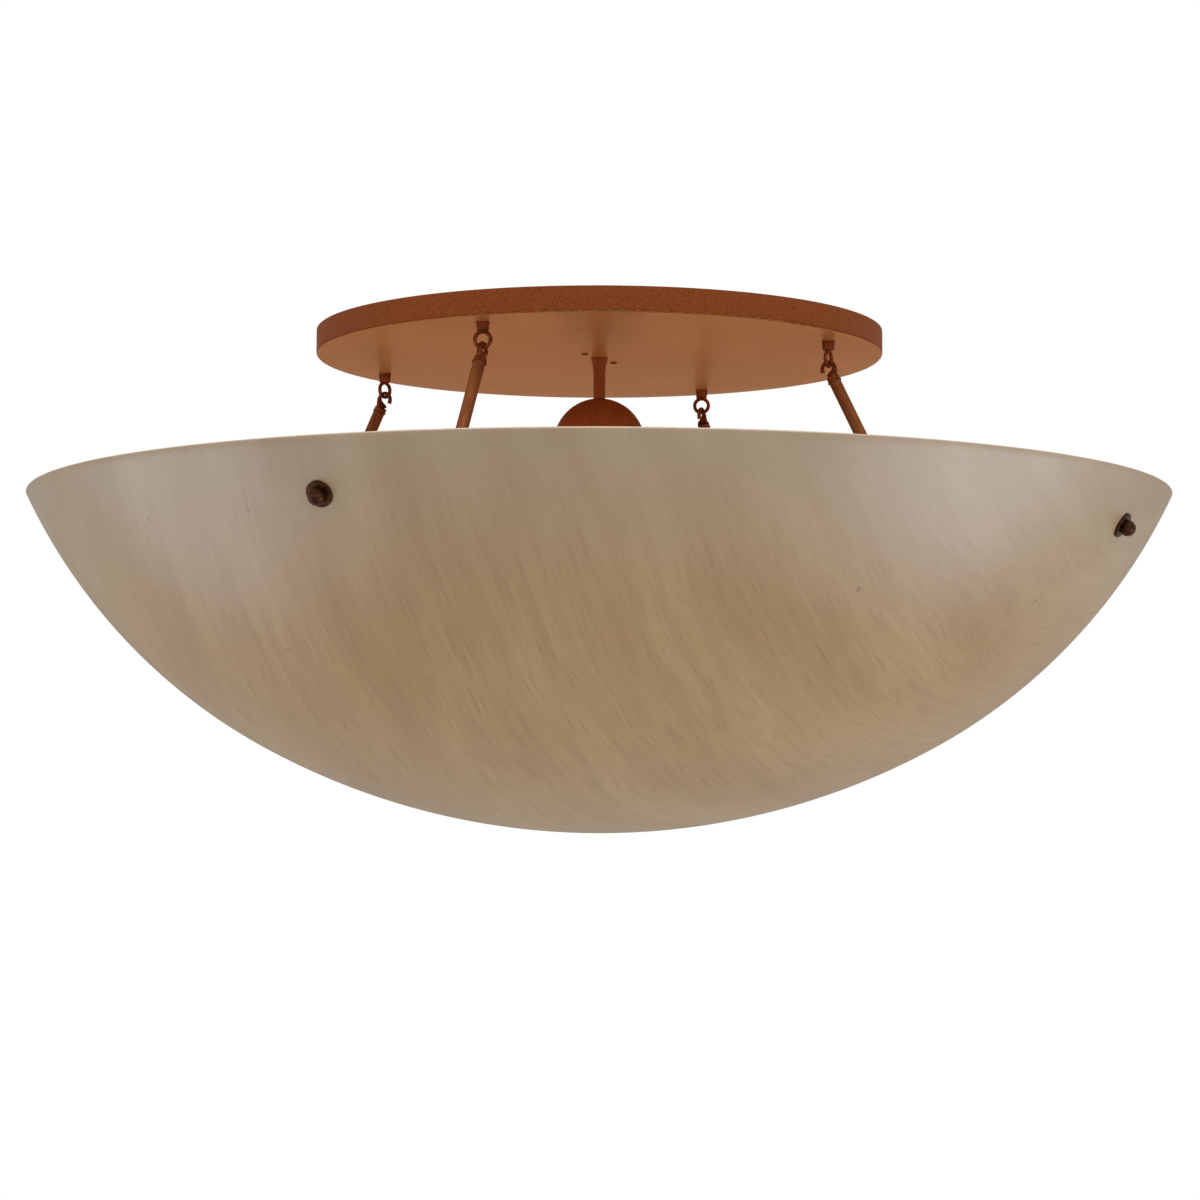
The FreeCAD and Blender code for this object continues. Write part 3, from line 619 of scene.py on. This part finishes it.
nipple_length = 15.95
nipple_inset = 5.95
nipple = set_on(threaded_tube(0, nipple_length), seat - lamp_axis * nipple_inset, lamp_axis)
shown("threaded_nipples", every(nipple, zinc, 45), None, "canopy", "zinc_steel", "wiring_nipples")

# ---------------------------------------------------------------- lamps
# Four round opal lamps, screwed into the holders. Each is a blown glass globe coated white
# inside, on a bright rolled screw cap with a black insulator and a soldered contact.

lamp_base = seat + lamp_axis * (holder_floor + 0.3)
globe_radius = 30.0
lamp_length = 112.0
cap_radius = 13.0
cap_length = 25.0
cap_pitch = 3.6
neck_radius = 12.6
neck_end = cap_length + 12.0
globe_centre = Vector((0, lamp_length - globe_radius))
reach = globe_centre - Vector((neck_radius, neck_end))
heading = math.atan2(reach.y, reach.x) - math.asin(globe_radius / reach.length)
run = math.sqrt(reach.length ** 2 - globe_radius ** 2)
touch = Vector((neck_radius + math.cos(heading) * run, neck_end + math.sin(heading) * run))
touch_deg = math.degrees(math.atan2(touch.y - globe_centre.y, touch.x))
globe_profile = ([(0, cap_length), (neck_radius, cap_length), (neck_radius, neck_end)]
                 + arc(globe_centre, globe_radius, touch_deg, 90, 40))

opal = Finish("opal_glass", Roughness=0.12, Coat_Weight=0.5, Coat_Roughness=0.04,
              Subsurface_Weight=0.15, Subsurface_Scale=0.01)
opal.set("Base_Color", opal.mix(opal.span(opal.noise(90, detail=3), 0.35, 0.7),
                                tint(247, 245, 238), tint(240, 236, 226)))
opal.bump(opal.noise(45), 0.00008, 0.3)
cap_metal = Finish("lamp_cap_metal", Metallic=1.0, Roughness=0.3)
cap_metal.set("Base_Color", cap_metal.mix(cap_metal.noise(300, detail=3),
                                          tint(196, 196, 192), tint(222, 221, 216)))
cap_metal.set("Roughness", cap_metal.span(cap_metal.noise(700), 0.3, 0.7, 0.2, 0.4))
cap_profile = ([(0, 0), (4.75, 0), (4.75, 2), (cap_radius, 6)]
               + threaded(cap_radius, 6.5, 24, cap_pitch, per_turn=8)
               + [(cap_radius, cap_length), (0, cap_length)])
for number in range(1, 5):
    at = 90 * number - 45
    cap = set_on(turned(cap_profile, cap_metal, steps=56, pitch=cap_pitch, depth=1.0, sharp_deg=50),
                 lamp_base, lamp_axis, at)
    shown(f"lamp_screw_cap_{number}", cap, None, f"lamp_{number}", "lamp_metal", f"lamp_cap_{number}")
    glass = set_on(turned(globe_profile, opal, steps=80), lamp_base, lamp_axis, at)
    shown(f"lamp_glass_{number}", glass, None, f"lamp_{number}", "lamp_opal", f"lamp_globe_{number}")

# ================================================================ bowl
# The big open bowl is formed hot from one 5 mm acrylic sheet, coloured to pass for alabaster. The
# streaks lie side by side in the flat sheet, so on the bowl they stand steep on the side wall and
# lie flat across the crown. It is rubbed to a satin, and its rim is rounded by hand.

rim = -181.0
bowl_radius = 609.6
bowl_depth = 357.0
bowl_wall = 5.0
crown_radius = 750.0
crown_reach = 357.0
crown_centre = Vector((0, rim - bowl_depth + crown_radius))
joint_angle = math.asin(crown_reach / crown_radius)
joint_normal = Vector((math.sin(joint_angle), -math.cos(joint_angle)))
joint = crown_centre + joint_normal * crown_radius
to_rim = Vector((bowl_radius, rim)) - joint
side_radius = -to_rim.length_squared / (2 * to_rim.dot(joint_normal))
side_centre = joint - joint_normal * side_radius


def side_point(radius, height):
    return Vector((side_centre.x + math.sqrt(radius ** 2 - (height - side_centre.y) ** 2), height))


def side_deg(radius, height):
    point = side_point(radius, height) - side_centre
    return math.degrees(math.atan2(point.y, point.x))


joint_deg = math.degrees(math.atan2(joint_normal.y, joint_normal.x))
rim_round = 2.2
outside = (arc(crown_centre, crown_radius, -90, joint_deg, 44)
           + arc(side_centre, side_radius, joint_deg, side_deg(side_radius, rim - rim_round), 44)[1:])
inside = (arc(side_centre, side_radius - bowl_wall, side_deg(side_radius - bowl_wall, rim - rim_round),
              joint_deg, 44)
          + arc(crown_centre, crown_radius - bowl_wall, joint_deg, -90, 44)[1:])
lip_out = side_point(side_radius, rim - rim_round)
lip_in = side_point(side_radius - bowl_wall, rim - rim_round)
middle = (lip_out + lip_in) / 2
lip_round = [(middle.x + (lip_out.x - middle.x) * math.cos(a), rim - rim_round + rim_round * math.sin(a))
             for a in [math.pi * i / 10 for i in range(1, 10)]]

alabaster = Finish("alabaster_acrylic", Specular_IOR_Level=1.0, Coat_Weight=0.1, Coat_Roughness=0.25)
spot = alabaster.add("ShaderNodeSeparateXYZ", {"Vector": alabaster.place}).node.outputs
climb = alabaster.sums("SUBTRACT", spot["Z"], (rim - bowl_depth + bowl_wall) * mm)
climb = alabaster.sums("MAXIMUM", climb)
level = alabaster.add("ShaderNodeCombineXYZ", {"X": spot["X"], "Y": spot["Y"]})
chord = alabaster.add("ShaderNodeCombineXYZ", {"X": spot["X"], "Y": spot["Y"], "Z": climb})
grown = alabaster.sums("DIVIDE",
                       *[alabaster.add("ShaderNodeVectorMath", {0: way}, out="Value", operation="LENGTH")
                         for way in (chord, level)])
flat_sheet = alabaster.add("ShaderNodeVectorMath", {0: level, "Scale": grown}, operation="SCALE")
swirl = alabaster.noise(3, place=flat_sheet, detail=3, out="Color")
swirl = alabaster.add("ShaderNodeVectorMath", {0: swirl, "Scale": 0.05}, operation="SCALE")
flat_sheet = alabaster.add("ShaderNodeVectorMath", {0: flat_sheet, 1: swirl}, operation="ADD")


sheet_turn_deg = -4.2


def drawn(across, along, detail=5, rough=0.6):
    """Noise drawn out along the sheet's streaks."""
    drawn_out = alabaster.stretched((across, along, 1), (0, 0, sheet_turn_deg), place=flat_sheet)
    return alabaster.noise(1, place=drawn_out, detail=detail, rough=rough)


clouds = drawn(9, 3, detail=4, rough=0.5)
veins = drawn(68, 5)
fine = drawn(150, 10, rough=0.68)
hairs = drawn(290, 16, detail=3)
# Nearer the rim the colour is painted greyer and lighter: a painted sheen for the grey reflection on the
# bowl's upper side.
near_rim = alabaster.span(spot["Z"], -0.36, -0.20)
sheet_and_sheen_colour = alabaster.mix(alabaster.span(clouds, 0.34, 0.68),
                            alabaster.mix(near_rim, tint(172, 132, 80), tint(169, 141, 107)),
                            alabaster.mix(near_rim, tint(188, 150, 99), tint(182, 157, 125)))
shows = alabaster.span(near_rim, 0, 1, 1.0, 0.22)
for streak, low, high, most, colour in ((veins, 0.46, 0.70, 0.34, tint(152, 113, 68)),
                                        (fine, 0.50, 0.74, 0.30, tint(196, 166, 126)),
                                        (hairs, 0.52, 0.72, 0.40, tint(142, 101, 62))):
    strength = alabaster.sums("MULTIPLY", alabaster.span(streak, low, high, 0, most), shows)
    sheet_and_sheen_colour = alabaster.mix(strength, sheet_and_sheen_colour, colour)
speck = alabaster.span(alabaster.cells(15, place=flat_sheet), 0.05, 0.03, 0, 0.45)
alabaster.set("Base_Color", alabaster.mix(speck, sheet_and_sheen_colour, tint(104, 76, 46)))
alabaster.set("Roughness", alabaster.span(fine, 0.3, 0.7, 0.34, 0.46))
alabaster.bump(fine, 0.0003, 0.08)
bowl = turned(outside + lip_round + inside, alabaster, steps=256, sharp_deg=60)
shown("bowl_shell", bowl, None, "bowl_assembly", "bowl_alabaster", "bowl")

# ---------------------------------------------------------------- knobs, washers and studs
# Each arm's foot is bolted to the bowl by a steel stud that ends in a ball-faced cap knob over a
# domed washer. Knobs and washers are turned brass, blackened and rubbed back, so the edges
# show a little warm metal.

knob_below_rim = 51.5
knob_point = side_point(side_radius, rim - knob_below_rim)
outward = (knob_point - side_centre) / side_radius
outward = Vector((outward.x, 0, outward.y))


def from_wall(distance):
    """Point on a knob's axis, that far out from the bowl's outer face."""
    return Vector((knob_point.x, 0, knob_point.y)) + outward * distance


blackened = Finish("blackened_copper", Metallic=0.7, Specular_IOR_Level=0.15)
rub = blackened.noise(260, detail=4, rough=0.6)
blackened.set("Base_Color", blackened.ramp(rub, (0.3, tint(50, 29, 16)), (0.56, tint(78, 46, 26)),
                                           (0.76, tint(122, 76, 44))))
blackened.set("Roughness", blackened.span(rub, 0.3, 0.75, 0.42, 0.26))
blackened.bump(blackened.noise(700), 0.0001, 0.4)

stud_start = -10.7
stud_length = 21.5
stud_pitch = 1.27
stud = turned([(0, 0)] + threaded(3.175, 0, stud_length, stud_pitch) + [(0, stud_length)], zinc,
              steps=28, pitch=stud_pitch, depth=0.6, sharp_deg=thread_sharp_deg)
shown("bowl_studs", every(set_on(stud, from_wall(stud_start), outward), zinc), None, "bowl_assembly",
      "zinc_steel", "knob_studs")

washer_hole = 3.375
washer = turned([(washer_hole, 0), (13.3, 0)] + arc((12.3, 1.6), 1.0, 0, 90, 8) + [(washer_hole, 2.6)],
                blackened, steps=72)
shown("round_washers", every(set_on(washer, from_wall(0), outward), blackened), None, "bowl_assembly",
      "dark_bronze", "bowl_washers")

ball_radius = 8.2
knob_height = 12.5
knob_foot_radius = 7.4
knob_hole = 3.255
knob_hole_depth = 9
ball_start_deg = -math.degrees(math.acos(knob_foot_radius / ball_radius))
knob_profile = ([(knob_hole, 0), (knob_foot_radius, 0)]
                + arc((0, knob_height - ball_radius), ball_radius, ball_start_deg, 90, 26)
                + [(0, knob_hole_depth), (knob_hole, knob_hole_depth)])
for number in range(1, 5):
    knob = set_on(turned(knob_profile, blackened), from_wall(2.8), outward, 90 * (number - 1))
    shown(f"ball_knob_{number}", knob, None, f"knob_{number}", "dark_bronze", f"knob_{number}")

# ---------------------------------------------------------------- feet and rubber rings
# Inside the bowl each arm ends in a cast foot: a round plate square to the wall and a sleeve
# for the tube. A black rubber ring keeps the metal off the acrylic.

for number in range(1, 5):
    shown(f"cast_foot_{number}", eased(merged(f"arm_foot_{number}"), 0.4 * mm), brown, "bowl_assembly",
          "metal_paint", f"arm_foot_{number}")

rubber = Finish("black_rubber", Roughness=0.75)
rubber.set("Base_Color", rubber.mix(rubber.noise(400), tint(28, 28, 28), tint(44, 43, 42)))
rubber.bump(rubber.noise(1200), 0.00008, 0.5)
gasket = turned(softened([(4, 0), (13, 0), (13, 1.5), (4, 1.5)], 0.35), rubber)
shown("rubber_rings", every(set_on(gasket, from_wall(-6.7), outward), rubber), None, "bowl_assembly",
      "gasket_rubber", "wall_gaskets")

# ================================================================ arms
# Four bent steel tubes carry the bowl. Each leaves its hook at a lean, bends inside the bowl and
# runs out to its foot. The enamel is brushed on along the tube, so it shows lengthwise streaks.

arm_radius = 6.35
lean = math.radians(26.6)
arm_axis = Vector((math.sin(lean), 0, -math.cos(lean)))
hook_centre = Vector((loop_circle, 0, -54.45))
arm_start = hook_centre + arm_axis * 12.25
elbow_below_rim = 25
elbow = hook_centre + arm_axis * ((rim - elbow_below_rim - hook_centre.z) / arm_axis.z)
bend_radius = 80
foot_centre = from_wall(-8.7)
tail = (foot_centre - elbow).normalized()
arm_end = foot_centre - tail * 9.0


def tube_recipe():
    """Sweep a round section along a bent line and keep where each point lies along the tube."""
    recipe = Recipe("bent_tube", Radius="Float", Bend="Float", Sides="Int", Turns="Int")
    line = recipe.add("GeometryNodeMeshToCurve", {"Mesh": recipe.given["Geometry"]})
    bent = recipe.add("GeometryNodeFilletCurve",
                      {"Curve": line, "Radius": recipe.given["Bend"], "Count": recipe.given["Turns"]},
                      mode="POLY")
    along = recipe.add("GeometryNodeSplineParameter", out="Length")
    ring = recipe.add("GeometryNodeCurvePrimitiveCircle",
                      {"Resolution": recipe.given["Sides"], "Radius": recipe.given["Radius"]})
    kept = []
    for curve, value, kind in ((bent, along, "FLOAT"),
                               (ring, recipe.add("GeometryNodeInputPosition"), "VECTOR")):
        hold = recipe.tree.nodes.new("GeometryNodeCaptureAttribute")
        hold.capture_items.new(kind, "kept")
        recipe.links.new(curve, hold.inputs["Geometry"])
        recipe.links.new(value, hold.inputs["kept"])
        kept.append(hold)
    tube = recipe.add("GeometryNodeCurveToMesh",
                      {"Curve": kept[0].outputs["Geometry"], "Profile Curve": kept[1].outputs["Geometry"],
                       "Fill Caps": True})
    across = recipe.add("ShaderNodeSeparateXYZ", {"Vector": kept[1].outputs["kept"]}).node.outputs
    grain = recipe.add("ShaderNodeCombineXYZ", {"X": across["X"], "Y": across["Y"],
                                                "Z": kept[0].outputs["kept"]})
    marked = recipe.add("GeometryNodeStoreNamedAttribute",
                        {"Geometry": tube, "Name": "grain", "Value": grain},
                        data_type="FLOAT_VECTOR", domain="POINT")
    return recipe.end(marked)


bent_tube = tube_recipe()
streaked = Finish("streaked_enamel", Metallic=0.3, Specular_IOR_Level=0.06, Specular_Tint=warm_sheen)
run_along = streaked.add("ShaderNodeAttribute", out="Vector", attribute_name="grain")
brush = streaked.noise(1, place=streaked.stretched((900, 900, 30), place=run_along), detail=5, rough=0.6)
blotch = streaked.noise(1, place=streaked.stretched((110, 110, 45), place=run_along), detail=4)
blotch = streaked.span(blotch, 0.3, 0.7)
streaked.set("Base_Color", streaked.mix(streaked.span(brush, 0.36, 0.68),
                                        streaked.mix(blotch, tint(106, 58, 33), tint(122, 71, 41)),
                                        streaked.mix(blotch, tint(142, 85, 49), tint(160, 99, 58))))
streaked.set("Roughness", streaked.span(brush, 0.3, 0.7, 0.38, 0.55))
streaked.bump(brush, 0.0004, 0.5)
for number in range(1, 5):
    path = bpy.data.meshes.new("path")
    path.from_pydata([point * mm for point in (arm_start, elbow, arm_end)], [(0, 1), (1, 2)], [])
    tube = bent_tube.run(path, streaked, Radius=arm_radius * mm, Bend=bend_radius * mm,
                         Sides=40, Turns=22)
    tube = smoothed(joined_up(tube, merge=1e-6), 40)
    tube.transform(quarter(number))
    shown(f"arm_{number}", tube, None, "bowl_assembly", "metal_paint", f"arm_tube_{number}")

# ---------------------------------------------------------------- hooks
# Each arm is topped by a crook of brass rod. It swells into a ferrule over the tube's end, with a
# bead round its foot, and the copper lacquer stops at the rod's cut end, where bare brass shows.

hook_ring = 6.75
hook_wire = 2.0
throat = 2.7
shoulder = 6.5
tip_spread = 0.9
tip_swell = 0.4
crook_deg = 222
bend_low = hook_centre + arm_axis * 10.4
bend_high = hook_centre + Vector((hook_ring, 0, 0))
pull = [bend_low, bend_low + UP * 2.5, bend_high - UP * 4.0, bend_high]
crook = []
for i in range(15):
    t = i / 14
    weights = [(1 - t) ** 3, 3 * t * (1 - t) ** 2, 3 * t * t * (1 - t), t ** 3]
    crook.append((sum((w * point for w, point in zip(weights, pull)), Vector()),
                  throat + (shoulder - throat) * (1 - t) ** 1.3))
for i in range(1, 45):
    t = i / 44
    turn = math.radians(crook_deg * t)
    spread = hook_ring + tip_spread * max(0.0, (t - 0.82) / 0.18) ** 2
    crook.append((hook_centre + Vector((math.cos(turn), 0, math.sin(turn))) * spread,
                  hook_wire + (throat - hook_wire) * max(0.0, 1 - t / 0.25) ** 2
                  + tip_swell * max(0.0, (t - 0.7) / 0.3)))


def swept(stations, sides=24):
    """Closed rod through stations of (middle, radius) that all lie in the XZ plane."""
    aside = Vector((0, 1, 0))
    points, faces = [], []
    for i, (middle, radius) in enumerate(stations):
        ahead = stations[min(i + 1, len(stations) - 1)][0] - stations[max(i - 1, 0)][0]
        over = aside.cross(ahead).normalized()
        for k in range(sides):
            angle = 2 * math.pi * k / sides
            points.append((middle + aside * radius * math.cos(angle)
                           + over * radius * math.sin(angle)) * mm)
        if i:
            faces += [(i * sides - sides + k, i * sides - sides + (k + 1) % sides,
                       i * sides + (k + 1) % sides, i * sides + k) for k in range(sides)]
    faces += [tuple(range(sides)), tuple(range(len(points) - sides, len(points)))]
    rod = bpy.data.meshes.new("rod")
    rod.from_pydata(points, [], faces)
    return smoothed(joined_up(rod, merge=1e-7), 40)


ferrule = softened([(0, 10.1), (6.2, 10.1), (6.7, 10.9), (6.7, 14.8), (7.5, 15.0), (7.5, 16.1),
                    (6.37, 16.2), (6.37, 12.27), (5.05, 12.27), (5.05, 24.2), (0, 24.2)], 0.35)
tip = crook[-1][0] * mm
for number in range(1, 5):
    hook = swept(crook)
    hook.materials.append(copper.material)
    hook.materials.append(brass.material)
    for face in hook.polygons:
        face.material_index = int((face.center - tip).length < 0.5 * mm)
    hook = together(hook, set_on(turned(ferrule, copper, steps=48), hook_centre, arm_axis))
    hook.transform(quarter(number))
    shown(f"arm_hook_{number}", hook, None, "bowl_assembly", "metal_paint", "arm_hooks")

# ================================================================ floor, light and camera
# The light hangs in a white studio: a pale floor far below it, a low soft box on either side
# whose sheen climbs the bowl, one behind, one overhead and a white surround. The camera is a
# long lens a little below the bowl's rim, looking slightly up.

floor_radius = 40
floor_level = -6.2
floor_sides = 96
floor_mesh = bpy.data.meshes.new("studio_floor")
floor_mesh.from_pydata([(floor_radius * math.cos(a), floor_radius * math.sin(a), floor_level)
                        for a in [2 * math.pi * i / floor_sides for i in range(floor_sides)]],
                       [], [list(range(floor_sides))])
pale = Finish("pale_floor", Roughness=0.8)
pale.set("Base_Color", pale.mix(pale.noise(0.6), tint(200, 200, 199), tint(208, 208, 207)))
pale.set("Emission_Color", (1, 1, 1, 1))
pale.set("Emission_Strength", 0.08)
floor_mesh.materials.append(pale.material)
floor = bpy.data.objects.new("studio_floor", floor_mesh)
bpy.context.scene.collection.objects.link(floor)

camera_azimuth = math.radians(26.2)
world = bpy.data.worlds.new("white_surround")
bpy.context.scene.world = world
world.use_nodes = True
sky = world.node_tree
surround = sky.nodes["Background"]
surround.inputs["Color"].default_value = (1, 1, 1, 1)
facing_way = sky.nodes.new("ShaderNodeVectorMath")
facing_way.operation = "DOT_PRODUCT"
facing_way.inputs[1].default_value = (math.sin(camera_azimuth), -math.cos(camera_azimuth), 0)
sky.links.new(sky.nodes.new("ShaderNodeTexCoord").outputs["Generated"], facing_way.inputs[0])
front_light = sky.nodes.new("ShaderNodeMapRange")
for socket, value in (("From Min", -1.0), ("From Max", 0.6), ("To Min", 0.33), ("To Max", 0.84)):
    front_light.inputs[socket].default_value = value
sky.links.new(facing_way.outputs["Value"], front_light.inputs["Value"])
sky.links.new(front_light.outputs["Result"], surround.inputs["Strength"])
backdrop = sky.nodes.new("ShaderNodeBackground")
backdrop.inputs["Color"].default_value = (1, 1, 1, 1)
backdrop.inputs["Strength"].default_value = 1.0
choose = sky.nodes.new("ShaderNodeMixShader")
sky.links.new(sky.nodes.new("ShaderNodeLightPath").outputs["Is Camera Ray"], choose.inputs[0])
sky.links.new(surround.outputs[0], choose.inputs[1])
sky.links.new(backdrop.outputs[0], choose.inputs[2])
sky.links.new(choose.outputs[0], sky.nodes["World Output"].inputs["Surface"])


bowl_middle = Vector((0, 0, -0.28))


def soft_box(name, azimuth_deg, distance, height, width, tall, watts, colour=(1, 1, 1)):
    """Broad lamp facing the bowl from an azimuth counted from the camera's side."""
    data = bpy.data.lights.new(name, "AREA")
    data.shape = "RECTANGLE"
    data.size, data.size_y, data.energy, data.color = width, tall, watts, colour
    lamp = bpy.data.objects.new(name, data)
    bearing = camera_azimuth + math.radians(azimuth_deg)
    lamp.location = (distance * math.sin(bearing), -distance * math.cos(bearing), height)
    aim = bowl_middle - lamp.location
    lamp.rotation_euler = aim.to_track_quat("-Z", "Y").to_euler()
    bpy.context.scene.collection.objects.link(lamp)


cool = (0.84, 0.98, 1.18)
soft_box("left_box", -89, 2.9, -1.75, 2.5, 2.2, 20, cool)
soft_box("right_box", 77, 2.9, -1.75, 2.5, 2.2, 32, cool)
soft_box("rear_box", 180, 4.0, 0.6, 2.4, 1.8, 12)
soft_box("top_box", 0, 0.2, 3.0, 3.0, 3.0, 90)

camera = bpy.data.objects.new("photo_camera", bpy.data.cameras.new("photo_camera"))
camera.data.lens = 99.91
camera.data.sensor_width = 36.0
camera.data.clip_start, camera.data.clip_end = 0.05, 200
camera.matrix_world = Matrix(((0.8974713, 0.0338642, 0.439771, 1.5746),
                              (0.4410688, -0.0732184, -0.8944816, -3.2001),
                              (0.0019084, 0.9967408, -0.0806479, -0.5766),
                              (0, 0, 0, 1)))
bpy.context.scene.collection.objects.link(camera)
bpy.context.scene.camera = camera
bpy.context.scene.view_settings.view_transform = "Standard"
